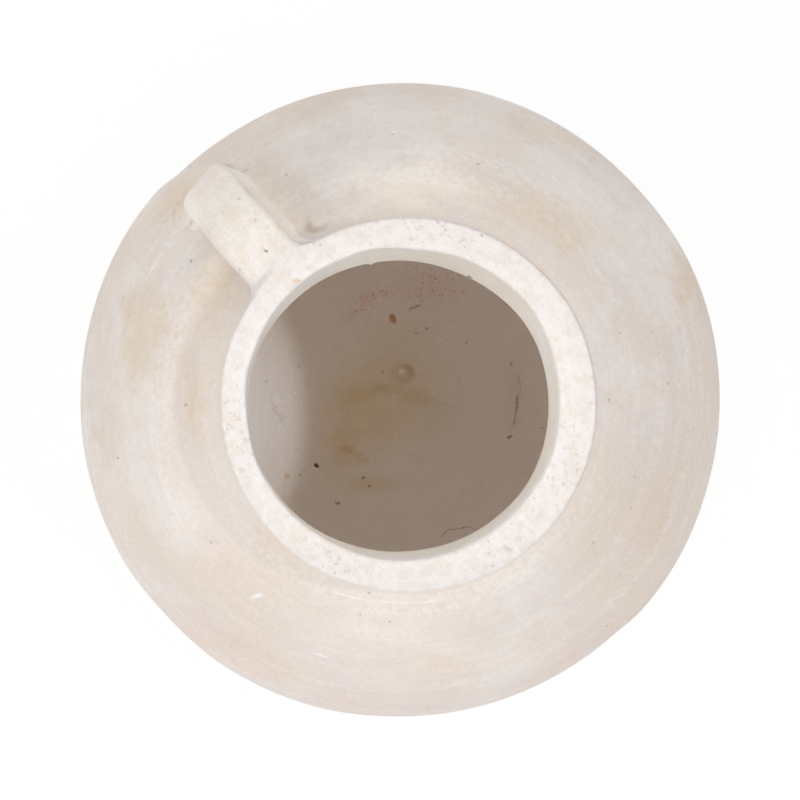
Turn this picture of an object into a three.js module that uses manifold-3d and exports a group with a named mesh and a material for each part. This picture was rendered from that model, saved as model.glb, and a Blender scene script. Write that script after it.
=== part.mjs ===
// Hand-thrown clay jug: a round body in two thrown halves on a slab, a short neck, a thick flat rim
// and one strap handle, luted together with soft clay.
// Millimetres, +Z up, origin in the middle of the underside, handle towards +X.

import * as THREE from "three";
import { mergeVertices } from "three/addons/utils/BufferGeometryUtils.js";
import Module from "manifold-3d";

// Body
const bodyRadius = 150;
const bellyHeight = 122;
const wall = 11;
const footRadius = 68;
const footBevel = 1.5;

// Base slab and the wall that laps over its disc
const floorThickness = 11;
const floorRadius = 57;
const slabEdgeHeight = 5;
const slabLap = 3;
const nubRadius = 3.6;
const nubRise = 2.4;
const nubPlace = new THREE.Vector2(8.9, -10.9);

// Neck, which stands a little off the body's axis, and its seat in the shoulder
const neckRootRadius = 87;
const neckRootHeight = 224;
const neckRadius = 79.5;
const coveHeight = 15;
const neckWallHeight = 7;
const neckSeatDepth = 5.5;
const neckSeatWidth = 6.5;
const neckShift = new THREE.Vector2(-3.4, -1.2);

// Rim and the bore through rim and neck, which leans a little from throat to mouth
const rimBandHeight = 12;
const rimEdgeRound = 2.5;
const mouthRadius = 66.3;
const mouthShift = new THREE.Vector2(-1.5, 0.2);
const mouthBevel = 1.6;
const throatRadius = 64.5;
const throatDrop = 1;
const throatShift = new THREE.Vector2(-1.4, 2.6);

// Luted joints: a tongue on the lower piece stands in a groove of the upper one
const slip = 0.3;
const bellyTongueWidth = 4;
const bellyTongueHeight = 4;
const rimTongueWidth = 3.5;
const rimTongueHeight = 3;
const rimTongueInset = 4.2;

// Strap handle: flat on top, wider below, rolled so that one edge stands higher
const strapTopWidth = 25;
const strapUnderWidth = 33;
const strapThickness = 13;
const strapCorner = 3.5;
const strapRoll = THREE.MathUtils.degToRad(6);
const strapSideways = 0.8;
const strapDrop = 1.6;
const strapReach = 128;
const strapBend = 16;
const strapFootDrop = 34;
const strapSeatDepth = 3;

// Wads of clay that lute the strap on, swelling from a thin lip to a foot on the wall
const wadLip = 1.2;
const wadEmbed = 8;
const rimWadLength = 11;
const rimWadFlare = 6;
const shoulderWadLength = 20;
const shoulderWadFlare = 5;

// Fineness of the faceted skins
const turnSteps = 48;
const wallSteps = 10;
const coveSteps = 4;
const edgeSteps = 3;
const nubSteps = 16;
const strapSteps = 30;
const wadSteps = 6;

// Heights that follow from the pieces stacked on the shoulder
const rimBottom = neckRootHeight + coveHeight + neckWallHeight;
const rimTop = rimBottom + rimBandHeight;
const throatHeight = neckRootHeight - throatDrop;

const wasm = await Module();
wasm.setup();

// Closed three.js geometry to a solid that can be joined and cut.
function solidOf(geometry) {
  geometry.deleteAttribute("normal");
  geometry.deleteAttribute("uv");
  const merged = mergeVertices(geometry, 1e-4);
  return new wasm.Manifold(
    new wasm.Mesh({
      numProp: 3,
      vertProperties: new Float32Array(merged.attributes.position.array),
      triVerts: new Uint32Array(merged.index.array),
    }),
  );
}

// Solid back to a flat-shaded geometry.
function geometryOf(solid) {
  const mesh = solid.getMesh();
  const geometry = new THREE.BufferGeometry();
  geometry.setAttribute("position", new THREE.BufferAttribute(mesh.vertProperties, 3));
  geometry.setIndex(new THREE.BufferAttribute(mesh.triVerts, 1));
  geometry.computeVertexNormals();
  return geometry;
}

// Points of (radius, height) turned round the vertical axis.
function turned(profile) {
  const points = profile.map(([radius, height]) => new THREE.Vector2(radius, height));
  return new THREE.LatheGeometry(points, turnSteps).rotateX(Math.PI / 2);
}

// Points of (radius, height) on an elliptic arc about its middle, between two angles.
function ellipseArc(middleRadius, middleHeight, reach, rise, from, to, steps) {
  const points = [];
  for (let k = 0; k <= steps; k++) {
    const angle = from + ((to - from) * k) / steps;
    points.push([middleRadius + reach * Math.cos(angle), middleHeight + rise * Math.sin(angle)]);
  }
  return points;
}

// Radius of the bowl below the belly: upright at the belly, leaning in ever more towards the foot.
function bowlRadius(height, belly, foot, footHeight) {
  const drop = (bellyHeight - height) / (bellyHeight - footHeight);
  return belly - (belly - foot) * drop ** 2;
}

// Points of the bowl's outline from one height to another.
function bowlOutline(belly, foot, footHeight, from, to) {
  const points = [];
  for (let k = 0; k <= wallSteps; k++) {
    const height = from + ((to - from) * k) / wallSteps;
    points.push([bowlRadius(height, belly, foot, footHeight), height]);
  }
  return points;
}

// The shoulder is a quarter ellipse that passes through the neck's root. Its shell runs on inwards
// past the neck's seat, which is cut from it.
const shoulderRise = (neckRootHeight - bellyHeight) / Math.sqrt(1 - (neckRootRadius / bodyRadius) ** 2);
const shoulderEnd = Math.acos((neckRootRadius - neckSeatWidth - wall) / bodyRadius);

// Solid dome of the shoulder, its skin moved out by offset.
function shoulderDome(offset) {
  const radius = bodyRadius + offset;
  const rise = shoulderRise + offset;
  return solidOf(
    turned([
      [0, bellyHeight],
      ...ellipseArc(0, bellyHeight, radius, rise, 0, Math.PI / 2, 2 * wallSteps).slice(0, -1),
      [0, bellyHeight + rise],
    ]),
  );
}

// Base: a disc for the floor on a wider edge for the wall to stand on, with the nub that the
// thrower's finger left on the floor.
function baseSlab() {
  const discRadius = floorRadius + slabLap;
  const edgeRadius = bowlRadius(slabEdgeHeight, bodyRadius, footRadius, 0);
  const slab = solidOf(
    turned([
      [0, 0],
      [footRadius - footBevel, 0],
      [bowlRadius(footBevel, bodyRadius, footRadius, 0), footBevel],
      [edgeRadius, slabEdgeHeight],
      [discRadius, slabEdgeHeight],
      [discRadius, floorThickness],
      [0, floorThickness],
    ]),
  );
  const nub = new THREE.SphereGeometry(1, nubSteps, nubSteps / 2);
  nub.scale(nubRadius, nubRadius, 2 * nubRise);
  nub.translate(nubPlace.x, nubPlace.y, floorThickness - nubRise);
  return slab.add(solidOf(nub));
}

// Tongue of the belly joint, as its inner and outer radius.
function bellyTongue(clearance) {
  const middle = bodyRadius - wall / 2;
  const half = bellyTongueWidth / 2 + clearance;
  return [middle - half, middle + half];
}

// Lower half of the body, with the tongue on its top edge.
function lowerBody() {
  const discRadius = floorRadius + slabLap + slip;
  const standing = slabEdgeHeight + slip;
  const lap = floorThickness + slip;
  const [tongueInner, tongueOuter] = bellyTongue(0);
  const tongueTop = bellyHeight + bellyTongueHeight;
  return solidOf(
    turned([
      [discRadius, standing],
      ...bowlOutline(bodyRadius, footRadius, 0, standing, bellyHeight),
      [tongueOuter, bellyHeight],
      [tongueOuter, tongueTop],
      [tongueInner, tongueTop],
      [tongueInner, bellyHeight],
      ...bowlOutline(bodyRadius - wall, floorRadius, lap, bellyHeight, lap),
      [discRadius, lap],
      [discRadius, standing],
    ]),
  );
}

// Upper half of the body: grooved below, open at the top with a stepped seat for the neck.
function upperBody(strapSeat) {
  const bottom = bellyHeight + slip;
  const [grooveInner, grooveOuter] = bellyTongue(slip);
  const grooveTop = bottom + bellyTongueHeight;
  const lining = bodyRadius - wall;
  const liningRise = shoulderRise - wall;
  const shell = solidOf(
    turned([
      [lining, bottom],
      [grooveInner, bottom],
      [grooveInner, grooveTop],
      [grooveOuter, grooveTop],
      [grooveOuter, bottom],
      [bodyRadius, bottom],
      ...ellipseArc(0, bellyHeight, bodyRadius, shoulderRise, 0, shoulderEnd, wallSteps).slice(1),
      ...ellipseArc(0, bellyHeight, lining, liningRise, shoulderEnd, 0, wallSteps).slice(0, -1),
      [lining, bottom],
    ]),
  );
  const seatInner = neckRootRadius - neckSeatWidth + slip;
  const seatOuter = neckRootRadius + slip;
  const seatHeight = neckRootHeight - neckSeatDepth;
  const seat = turned([
    [0, bellyHeight],
    [seatInner, bellyHeight],
    [seatInner, seatHeight],
    [seatOuter, seatHeight],
    [seatOuter, rimTop],
    [0, rimTop],
  ]);
  seat.translate(neckShift.x, neckShift.y, 0);
  return shell.subtract(solidOf(seat)).subtract(strapSeat);
}

// Outline of the neck's outside from its root to a height, moved out by offset.
function neckFlank(offset, top) {
  const foot = neckRootRadius + offset;
  const coveTop = neckRootHeight + coveHeight;
  const coveDepth = neckRadius - neckRootRadius;
  const cove = ellipseArc(foot, coveTop, coveDepth, coveHeight, -Math.PI / 2, 0, coveSteps);
  return [...cove, [neckRadius + offset, top]];
}

// Solid neck and rim without their bore, for seating the handle on.
function neckCore(offset) {
  const core = turned([
    [0, bellyHeight],
    [neckRootRadius + offset, bellyHeight],
    ...neckFlank(offset, rimTop + strapThickness),
    [0, rimTop + strapThickness],
  ]);
  return solidOf(core.translate(neckShift.x, neckShift.y, 0));
}

// Bore through neck and rim, leaning from the throat's middle to the mouth's.
function mouthBore() {
  const overrun = 2 * mouthBevel;
  const bore = turned([
    [0, throatHeight - wall],
    [throatRadius, throatHeight - wall],
    [throatRadius, throatHeight],
    [mouthRadius, rimTop - mouthBevel],
    [mouthRadius + mouthBevel + overrun, rimTop + overrun],
    [0, rimTop + overrun],
  ]);
  const leanX = (mouthShift.x - throatShift.x) / (rimTop - throatHeight);
  const leanY = (mouthShift.y - throatShift.y) / (rimTop - throatHeight);
  bore.translate(0, 0, -throatHeight);
  bore.applyMatrix4(new THREE.Matrix4().set(1, 0, leanX, 0, 0, 1, leanY, 0, 0, 0, 1, 0, 0, 0, 0, 1));
  bore.translate(throatShift.x, throatShift.y, throatHeight);
  return solidOf(bore);
}

// Tongue of the rim joint, as its inner and outer radius.
function rimTongue(clearance) {
  const outer = neckRadius - rimTongueInset;
  return [outer - rimTongueWidth - clearance, outer + clearance];
}

// Neck: a collar whose foot fills the shoulder's seat and whose top carries the rim's tongue.
function neckCollar(strapSeat) {
  const seatInner = neckRootRadius - neckSeatWidth;
  const seatHeight = neckRootHeight - neckSeatDepth + slip;
  const [tongueInner, tongueOuter] = rimTongue(0);
  const tongueTop = rimBottom + rimTongueHeight;
  const collar = turned([
    [0, bellyHeight],
    [seatInner, bellyHeight],
    [seatInner, seatHeight],
    [neckRootRadius, seatHeight],
    ...neckFlank(0, rimBottom),
    [tongueOuter, rimBottom],
    [tongueOuter, tongueTop],
    [tongueInner, tongueTop],
    [tongueInner, rimBottom],
    [0, rimBottom],
  ]);
  return solidOf(collar.translate(neckShift.x, neckShift.y, 0))
    .subtract(shoulderDome(-wall))
    .subtract(mouthBore())
    .subtract(strapSeat);
}

// Rim: a thick band with a flat top and softened edges, grooved below.
function rimBand(strapSeat) {
  const bottom = rimBottom + slip;
  const grooveTop = bottom + rimTongueHeight;
  const [grooveInner, grooveOuter] = rimTongue(slip);
  const edgeRadius = neckRadius - rimEdgeRound;
  const edgeHeight = rimTop - rimEdgeRound;
  const band = turned([
    [0, bottom],
    [grooveInner, bottom],
    [grooveInner, grooveTop],
    [grooveOuter, grooveTop],
    [grooveOuter, bottom],
    [neckRadius, bottom],
    ...ellipseArc(edgeRadius, edgeHeight, rimEdgeRound, rimEdgeRound, 0, Math.PI / 2, edgeSteps),
    [0, rimTop],
  ]);
  return solidOf(band.translate(neckShift.x, neckShift.y, 0))
    .subtract(mouthBore())
    .subtract(strapSeat);
}

// Where the strap's middle line lands on the shoulder, and how steeply the shoulder falls there.
const landingHeight = neckRootHeight - strapFootDrop;
const landingRise = (landingHeight - bellyHeight) / shoulderRise;
const landingRadius = bodyRadius * Math.sqrt(1 - landingRise ** 2);
const landingSlope = ((shoulderRise / bodyRadius) * Math.sqrt(1 - landingRise ** 2)) / landingRise;

// How far the strap's middle line runs on into the shoulder before it is cut off.
const strapEmbed = 2 * strapThickness;

// Middle line of the strap in the upright plane through the handle: level out of the neck, round
// one bend, down to the shoulder and on into it.
function strapPath() {
  const level = rimTop - strapDrop - strapThickness / 2;
  const corner = new THREE.Vector2(strapReach - strapThickness / 2, level);
  const landing = new THREE.Vector2(landingRadius, landingHeight);
  const leg = landing.clone().sub(corner).normalize();
  const legTop = leg.clone().multiplyScalar(strapBend).add(corner);
  const end = leg.clone().multiplyScalar(strapEmbed).add(landing);
  const path = new THREE.Path();
  path.moveTo(neckShift.x + neckRadius - strapSeatDepth, level);
  path.lineTo(corner.x - strapBend, level);
  path.quadraticCurveTo(corner.x, corner.y, legTop.x, legTop.y);
  path.lineTo(end.x, end.y);
  return path;
}

// Section of the strap, grown sideways, below and above, with its corners rounded.
function strapOutline(growSide, growUnder, growTop) {
  const top = strapThickness / 2 + growTop;
  const under = -strapThickness / 2 - growUnder;
  const round = strapCorner + growSide / 2;
  const corners = [
    [strapTopWidth / 2 + growSide, top],
    [-strapTopWidth / 2 - growSide, top],
    [-strapUnderWidth / 2 - growSide, under],
    [strapUnderWidth / 2 + growSide, under],
  ].map(([across, up]) => new THREE.Vector2(across, up));
  const rounded = new THREE.Path();
  corners.forEach((corner, k) => {
    const before = corners[(k + 3) % 4].clone().sub(corner).setLength(round).add(corner);
    const after = corners[(k + 1) % 4].clone().sub(corner).setLength(round).add(corner);
    if (k === 0) rounded.moveTo(before.x, before.y);
    else rounded.lineTo(before.x, before.y);
    rounded.quadraticCurveTo(corner.x, corner.y, after.x, after.y);
  });
  return rounded.getPoints(edgeSteps).map((point) => point.rotateAround(new THREE.Vector2(), -strapRoll));
}

// Skin through sections across the strap's path, from one distance along it to another.
// outlineAt gives each one's outline for a share from 0 to 1 of the way; slantAt gives how far its
// outer side runs ahead along the path, for each millimetre outwards.
function sweptAlongStrap(start, end, steps, outlineAt, slantAt) {
  const path = strapPath();
  const length = path.getLength();
  const positions = [];
  let count = 0;
  for (let k = 0; k <= steps; k++) {
    const share = k / steps;
    const place = THREE.MathUtils.clamp((start + (end - start) * share) / length, 0, 1);
    const middle = path.getPointAt(place);
    const tangent = path.getTangentAt(place);
    const outline = outlineAt(share);
    const slant = slantAt(share);
    count = outline.length;
    for (const { x: across, y: out } of outline) {
      const ahead = out * slant;
      const x = middle.x - tangent.y * out + tangent.x * ahead;
      const z = middle.y + tangent.x * out + tangent.y * ahead;
      positions.push(x, strapSideways + across, z);
    }
  }
  const faces = [];
  for (let k = 0; k < steps; k++) {
    for (let j = 0; j < count; j++) {
      const here = k * count + j;
      const beside = k * count + ((j + 1) % count);
      faces.push(here, beside, beside + count, here, beside + count, here + count);
    }
  }
  const last = steps * count;
  for (let j = 1; j < count - 1; j++) {
    faces.push(0, j + 1, j);
    faces.push(last, last + j, last + j + 1);
  }
  const skin = new THREE.BufferGeometry();
  skin.setAttribute("position", new THREE.Float32BufferAttribute(positions, 3));
  skin.setIndex(faces);
  return solidOf(skin);
}

// The strap at full length, grown by clearance all round; its ends reach into neck and shoulder.
function strapBlank(clearance) {
  const outline = strapOutline(clearance, clearance, clearance);
  const square = () => 0;
  return sweptAlongStrap(0, strapPath().getLength(), strapSteps, () => outline, square);
}

// Swelling of a wad: a quarter hollow from its lip to its foot, for a share from foot to lip.
function wadSwelling(share, flare) {
  return wadLip + flare * (1 - Math.sqrt(1 - (1 - share) ** 2));
}

// Wad at the rim: beside and below the strap, flush with its top.
function rimWad() {
  const outlineAt = (share) => {
    const swelling = wadSwelling(share, rimWadFlare);
    return strapOutline(swelling, swelling, 0);
  };
  const square = () => 0;
  const wad = sweptAlongStrap(0, strapSeatDepth + rimWadLength, wadSteps, outlineAt, square);
  return wad.subtract(strapBlank(slip)).subtract(neckCore(slip));
}

// Wad at the shoulder: all round the strap's foot, its sections turning from square to the strap
// at the lip to level with the shoulder at the foot.
function shoulderWad() {
  const landing = strapPath().getLength() - strapEmbed;
  const outlineAt = (share) => {
    const swelling = wadSwelling(1 - share, shoulderWadFlare);
    return strapOutline(swelling, swelling, swelling);
  };
  const slantAt = (share) => landingSlope * share;
  const start = landing - shoulderWadLength;
  const wad = sweptAlongStrap(start, landing + wadEmbed, wadSteps, outlineAt, slantAt);
  return wad.subtract(strapBlank(slip)).subtract(shoulderDome(slip));
}

// Named mesh of one piece in its clay.
function piece(name, solid, clay) {
  const mesh = new THREE.Mesh(geometryOf(solid), clay);
  mesh.name = name;
  return mesh;
}

// Clay as it looks outside, on the paler rim and on the handle, and where soft clay was luted on.
function clay(color, roughness) {
  return new THREE.MeshStandardMaterial({ color, roughness, metalness: 0 });
}

const bodyClay = clay("#e0d5c9", 0.9);
const neckClay = clay("#e4dacf", 0.9);
const rimClay = clay("#f0e9e2", 0.88);
const handleClay = clay("#ece3da", 0.9);
const lutingClay = clay("#e2d6c8", 0.92);

// The strap stands in shallow seats pressed into neck, rim and shoulder.
const seatFloor = shoulderDome(-strapSeatDepth);
const strap = strapBlank(0).subtract(shoulderDome(slip - strapSeatDepth));
const strapSeat = strapBlank(slip).subtract(seatFloor);

const jug = new THREE.Group();
jug.add(
  piece("base_slab", baseSlab(), bodyClay),
  piece("lower_body", lowerBody(), bodyClay),
  piece("upper_body", upperBody(strapSeat), bodyClay),
  piece("neck_collar", neckCollar(strapSeat), neckClay),
  piece("rim_band", rimBand(strapSeat), rimClay),
  piece("handle_strap", strap, handleClay),
  piece("handle_rim_joint", rimWad(), lutingClay),
  piece("handle_shoulder_joint", shoulderWad(), lutingClay),
);

export default jug;
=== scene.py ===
"""Looks of a hand-thrown clay jug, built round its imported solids.

Metres, +Z up, handle towards +X. The photograph looks straight down on the jug's axis. Picture
degrees are angles round that axis, anticlockwise from the photograph's right.
"""

import math

import bpy
import numpy as np
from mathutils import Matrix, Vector, noise


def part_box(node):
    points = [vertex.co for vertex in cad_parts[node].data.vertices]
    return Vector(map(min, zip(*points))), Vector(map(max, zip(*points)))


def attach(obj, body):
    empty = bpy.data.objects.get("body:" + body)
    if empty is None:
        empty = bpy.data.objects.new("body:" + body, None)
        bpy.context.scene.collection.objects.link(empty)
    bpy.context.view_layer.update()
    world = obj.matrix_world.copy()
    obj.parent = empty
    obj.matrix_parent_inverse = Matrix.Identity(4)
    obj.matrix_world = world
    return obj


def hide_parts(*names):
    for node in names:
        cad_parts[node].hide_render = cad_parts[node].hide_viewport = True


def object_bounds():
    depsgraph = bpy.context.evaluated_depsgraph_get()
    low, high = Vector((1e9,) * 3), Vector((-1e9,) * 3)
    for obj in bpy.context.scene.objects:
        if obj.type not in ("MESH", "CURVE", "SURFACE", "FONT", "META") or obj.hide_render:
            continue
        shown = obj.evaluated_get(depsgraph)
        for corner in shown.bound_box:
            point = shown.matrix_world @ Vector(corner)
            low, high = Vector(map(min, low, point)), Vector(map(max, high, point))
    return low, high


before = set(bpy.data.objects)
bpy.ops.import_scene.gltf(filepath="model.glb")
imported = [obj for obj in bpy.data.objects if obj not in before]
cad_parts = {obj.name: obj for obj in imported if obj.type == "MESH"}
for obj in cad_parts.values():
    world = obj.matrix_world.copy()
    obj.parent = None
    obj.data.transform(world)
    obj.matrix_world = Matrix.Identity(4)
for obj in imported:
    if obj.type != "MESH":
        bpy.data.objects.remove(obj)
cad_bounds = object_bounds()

MM = 0.001

# The photograph in pixels, and its camera over the middle of the jug
PHOTO_SIZE = 800
PHOTO_FOCAL = 2643
PHOTO_TURN = math.radians(227.5)
CAMERA_HEIGHT = 1375 * MM
SENSOR_WIDTH = 36
NEAREST_SEEN = 10 * MM

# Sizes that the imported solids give
_, body_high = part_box("lower_body")
shoulder_low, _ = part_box("upper_body")
neck_low, neck_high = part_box("neck_collar")
rim_low, rim_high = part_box("rim_band")
SLIP = 0.3 * MM
BODY_RADIUS = body_high.x
BELLY_HEIGHT = shoulder_low.z - SLIP
NECK_SHIFT = np.array([(rim_low.x + rim_high.x) / 2, (rim_low.y + rim_high.y) / 2])
NECK_RADIUS = (rim_high.y - rim_low.y) / 2
ROOT_RADIUS = (neck_high.y - neck_low.y) / 2
RIM_BOTTOM = rim_low.z - SLIP
RIM_TOP = rim_high.z

# Body, as in the solids
WALL = 11 * MM
FOOT_RADIUS = 68 * MM
FOOT_BEVEL = 1.5 * MM
FLOOR_THICKNESS = 11 * MM
FLOOR_RADIUS = 57 * MM
SLAB_EDGE = 5 * MM
NUB_PLACE = np.array([8.9, -10.9]) * MM
# Body, softer than in the solids
CORNER_SOFTNESS = 6 * MM
NUB_RADIUS = 3.4 * MM
NUB_RISE = 2.1 * MM
UNDERSIDE_HOLLOW = 0.8 * MM
IN_SIGHT_HEIGHT = 60 * MM  # the camera sees the inner wall up to here

# Neck and rim, as in the solids
ROOT_HEIGHT = 224 * MM
COVE_HEIGHT = 15 * MM
SEAT_WIDTH = 6.5 * MM
MOUTH_RADIUS = 66.3 * MM
MOUTH_ROUND = 1.6 * MM
MOUTH_SHIFT = np.array([-1.5, 0.2]) * MM
THROAT_RADIUS = 64.5 * MM
THROAT_HEIGHT = 223 * MM
THROAT_SHIFT = np.array([-1.4, 2.6]) * MM
# Edges of rim and throat, finer than in the solids, and how many rings they have
RIM_ROUND = 1.3 * MM
RIM_HOLLOW = 0.4 * MM
THROAT_ROUND = 1.4 * MM
COVE_RINGS = 16
RIM_SIDE_RINGS, RIM_EDGE_RINGS, RIM_FLAT_RINGS = 6, 9, 12

# Strap handle, as in the solids
STRAP_TOP = 25 * MM
STRAP_UNDER = 33 * MM
STRAP_THICKNESS = 13 * MM
STRAP_ROLL = math.radians(6)
STRAP_SIDEWAYS = 0.8 * MM
STRAP_DROP = 1.6 * MM
STRAP_REACH = 128 * MM
STRAP_FOOT_DROP = 34 * MM
STRAP_LAP = 8 * MM
RIM_WAD = 11 * MM
SHOULDER_WAD = 20 * MM
CORE_INSET = 1.2 * MM
# Strap handle, with a rounder bend and a shorter hidden end than in the solids
STRAP_BEND = 26 * MM
STRAP_EMBED = 12 * MM

# What a hand left of the round outlines, in mm and picture degrees. A wave is a size, a seed and
# its slowest and fastest turns. An oval is a size and a direction. A bump is a size with either
# its middle and half width, or where it starts, is full, is full no more and ends.
BELLY_HAND = {
    "swell": 0.05,
    "oval": (0.75, 10),
    "bumps": [
        (0.35, 20, 28),
        (0.55, 78, 24),
        (0.55, 204, 214, 256, 268),
        (1.15, 312, 319, 322, 352),
        (1.15, 134, 140, 142, 178),
        (-0.6, 108, 124, 134, 138),
        (-0.9, 222.5, 16),
        (-0.45, 42.5, 16),
    ],
}
RIM_HAND = {"wave": (0.4, 5, 3, 11), "bumps": [(0.9, 5, 100)]}
MOUTH_HAND = {"wave": (0.4, 7, 4, 17), "bumps": [(1.4, 38, 26), (-1.3, 82, 22)]}
THROAT_HAND = {"wave": (0.35, 8, 3, 12), "oval": (1.25, 0), "bumps": [(0.8, 32, 42), (-1.0, 100.6, 1.6)]}

# Relief that hands left
DENTS = 0.3 * MM
THROWING_RINGS = 0.09 * MM
INNER_THROWING_RINGS = 0.16 * MM
THROWING_STEP = 7 * MM
RIM_LUMPS = 0.16 * MM
ROOT_LIP = 0.42 * MM
FOOT_TONGUE = 1.1 * MM
TONGUE_REACH = 314  # pixels from the jug's axis
FLOOR_RINGS = 0.1 * MM
FLOOR_RING_STEP = 8.5 * MM
FLOOR_RIDGE = 0.12 * MM
NUB_MOAT = 0.8 * MM
STROKE_LENGTH, STROKE_WIDTH = 45 * MM, 1.7 * MM
STRAP_STROKE_LENGTH, STRAP_STROKE_WIDTH = 30 * MM, 2 * MM

# What stains, painted light and painted shade leave of the clay's red, green and blue light
BEIGE = (0.93, 0.86, 0.77)
FAINT_BEIGE = (0.965, 0.93, 0.88)
HONEY = (0.99, 0.955, 0.89)
ROSE = (1.0, 0.965, 0.94)
ROSY = (0.985, 0.945, 0.94)
ROSE_GREY = (0.975, 0.968, 0.972)
PALER = (1.05, 1.055, 1.06)
FAINT_OLIVE = (0.95, 0.90, 0.76)
BRICK = (0.97, 0.89, 0.86)

# Stains, painted light and painted shade as ovals of the photograph: x, y, half length, half width, turn and
# what they leave
# Painted shade in the corner where the strap's root meets the rim and the shoulder
CORNER_PAINTED_SHADE = (311, 231, 22, 11, 22, (0.70, 0.66, 0.61))
BODY_STAINS_AND_PAINTED_SHADING = {
    "left": (140, 335, 92, 34, 80, BEIGE),
    "left_low": (118, 440, 54, 28, 100, FAINT_BEIGE),
    "left_inner": (192, 400, 70, 20, 95, FAINT_BEIGE),
    "beside_strap": (215, 290, 50, 34, 60, HONEY),
    "before_strap": (176, 200, 44, 22, 50, HONEY),
    # Painted light that cancels the strap's shadow on the shoulder
    "beside_strap_painted_light": (218, 272, 36, 20, 48, (1.12, 1.13, 1.12)),
    "strap_shade": (288, 192, 54, 32, 132, (0.935, 0.93, 0.905)),
    # Painted light in the cove, where the rim's shade falls
    "cove_painted_light": (348, 211, 30, 9, 14, (1.06, 1.06, 1.06)),
    # Painted light on the shoulder just outside the rim, where it lies in shade
    "over_rim_painted_light": (412, 186, 110, 32, 0, (1.13, 1.14, 1.13)),
    # Painted shade towards the outline at the upper right
    "upper_right_edge_painted_shade": (616, 184, 90, 26, -45, (0.93, 0.925, 0.93)),
    "low_edge": (405, 704, 150, 24, 0, ROSY),
    "low_right_edge": (590, 643, 100, 24, 38, ROSY),
    "low_left_edge": (215, 643, 100, 24, -38, ROSY),
    # Painted shade towards the outline at the left, also a warmer colour
    "left_edge_painted_shade": (98, 385, 120, 26, 92, (0.945, 0.925, 0.90)),
    "top_left": (316, 107, 70, 24, 22, FAINT_BEIGE),
    "top_right": (536, 128, 62, 22, -20, FAINT_BEIGE),
    "upper_right": (556, 222, 84, 36, -28, HONEY),
    "right_high": (694, 278, 54, 28, -62, BEIGE),
    "right_inner": (640, 330, 60, 30, -70, FAINT_BEIGE),
    "right_low": (650, 520, 70, 28, 60, ROSE),
    "low_left": (219, 548, 44, 22, -38, ROSE),
    "low_left_inner": (272, 540, 36, 20, -30, ROSE),
    "bottom_left": (250, 652, 70, 22, -35, ROSE),
    "bottom": (430, 668, 90, 22, 4, ROSE),
    "bottom_right": (540, 640, 60, 22, 30, ROSE),
    # Painted shade: the whole right side made a little darker
    "right_side_painted_shade": (640, 380, 250, 120, 90, ROSE_GREY),
    "corner_painted_shade": CORNER_PAINTED_SHADE,
    "pale_left": (150, 210, 60, 26, 50, PALER),
    "pale_low_left": (180, 520, 60, 30, -50, PALER),
    "pale_bottom": (400, 640, 110, 34, 0, PALER),
    "pale_top": (420, 160, 90, 24, 0, PALER),
    "pale_foot": (196, 178, 30, 20, 45, PALER),
}
INNER_STAINS_AND_PAINTED_SHADING = {
    "floor": (384, 402, 96, 66, 0, FAINT_OLIVE),
    "floor_left": (350, 436, 58, 80, 0, (0.97, 0.94, 0.86)),
    "floor_upper": (395, 352, 84, 54, 0, (0.975, 0.95, 0.89)),
    "arc_left": (362, 394, 34, 14, 24, (0.93, 0.90, 0.80)),
    "arc_middle": (386, 388, 22, 9, -5, (0.90, 0.88, 0.80)),
    "arc_right": (420, 399, 38, 12, -8, (0.93, 0.91, 0.82)),
    # Round the nub a brownish stain with painted shade, and on the nub a painted highlight
    "nub_ring_stain_and_shade": (404.5, 374, 13, 12, 0, (0.93, 0.91, 0.86)),
    "nub_painted_highlight": (402, 372, 6.5, 6, 30, (1.25, 1.3, 1.4)),
    "low_curve": (358, 458, 17, 7, -35, (0.93, 0.90, 0.80)),
    "low_ring": (376, 484, 42, 12, 8, (0.96, 0.93, 0.84)),
    "low_left_wall": (340, 470, 60, 40, -45, (0.99, 0.975, 0.94)),
    "brown_cloud": (343, 444, 26, 32, 0, (0.96, 0.91, 0.84)),
    "brown_core": (347, 449, 13, 9, 0, (0.90, 0.82, 0.74)),
    "brick_low": (350, 313, 16, 7, 38, BRICK),
    "brick_middle": (367, 301, 16, 8, 35, BRICK),
    "brick_high": (384, 293, 15, 7, 18, BRICK),
    "brick_cloud": (430, 287, 56, 26, 0, (0.97, 0.92, 0.90)),
    "grey_smudge": (278, 414, 18, 5, -62, (0.90, 0.88, 0.88)),
    "right_cloud": (515, 395, 18, 60, 0, (0.95, 0.93, 0.93)),
    # Painted light: a cooler, lighter tint where the lamp lights the inner wall
    "lit_wall_painted_light": (262, 415, 95, 42, 90, (0.985, 1.01, 1.08)),
}
BODY_STAIN_WANDER, INNER_STAIN_WANDER = 14, 4  # pixels
# Where the inner wall has glints: white specks of painted highlight on a smoother, shinier surface
GLINTS = (284, 402, 30, 46)
RUSTY_AREA = (428, 286, 66, 36)
RUSTY_STREAK = (368, 302, 44, 16, 30)
RIM_GRIT = [(80, 34), (340, 26), (190, 24), (246, 20), (300, 16)]  # middles and half widths

# Tints of whole parts' colour, with painted shade on the rim's outer side and painted light in the bore
STRAP_TINT = (0.99, 0.98, 0.95)
RIM_SHADE = (0.80, 0.765, 0.79)
RIM_TINT = (0.925, 0.925, 0.945)
BORE_TINT = (1.0, 1.06, 1.085)
BORE_LIT_SIDE, BORE_LIT_MORE = -25, 0.12

# Fineness of the skins
AROUND = 360
SECTION_STEP = 1.2 * MM

angle = np.radians(np.arange(AROUND) * 360 / AROUND)
photo_degrees = np.degrees(angle - PHOTO_TURN) % 360


def soft(value, low, high):
    """0 up to low and 1 from high on, with a soft step between."""
    share = np.clip((value - low) / (high - low), 0, 1)
    return share * share * (3 - 2 * share)


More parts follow.
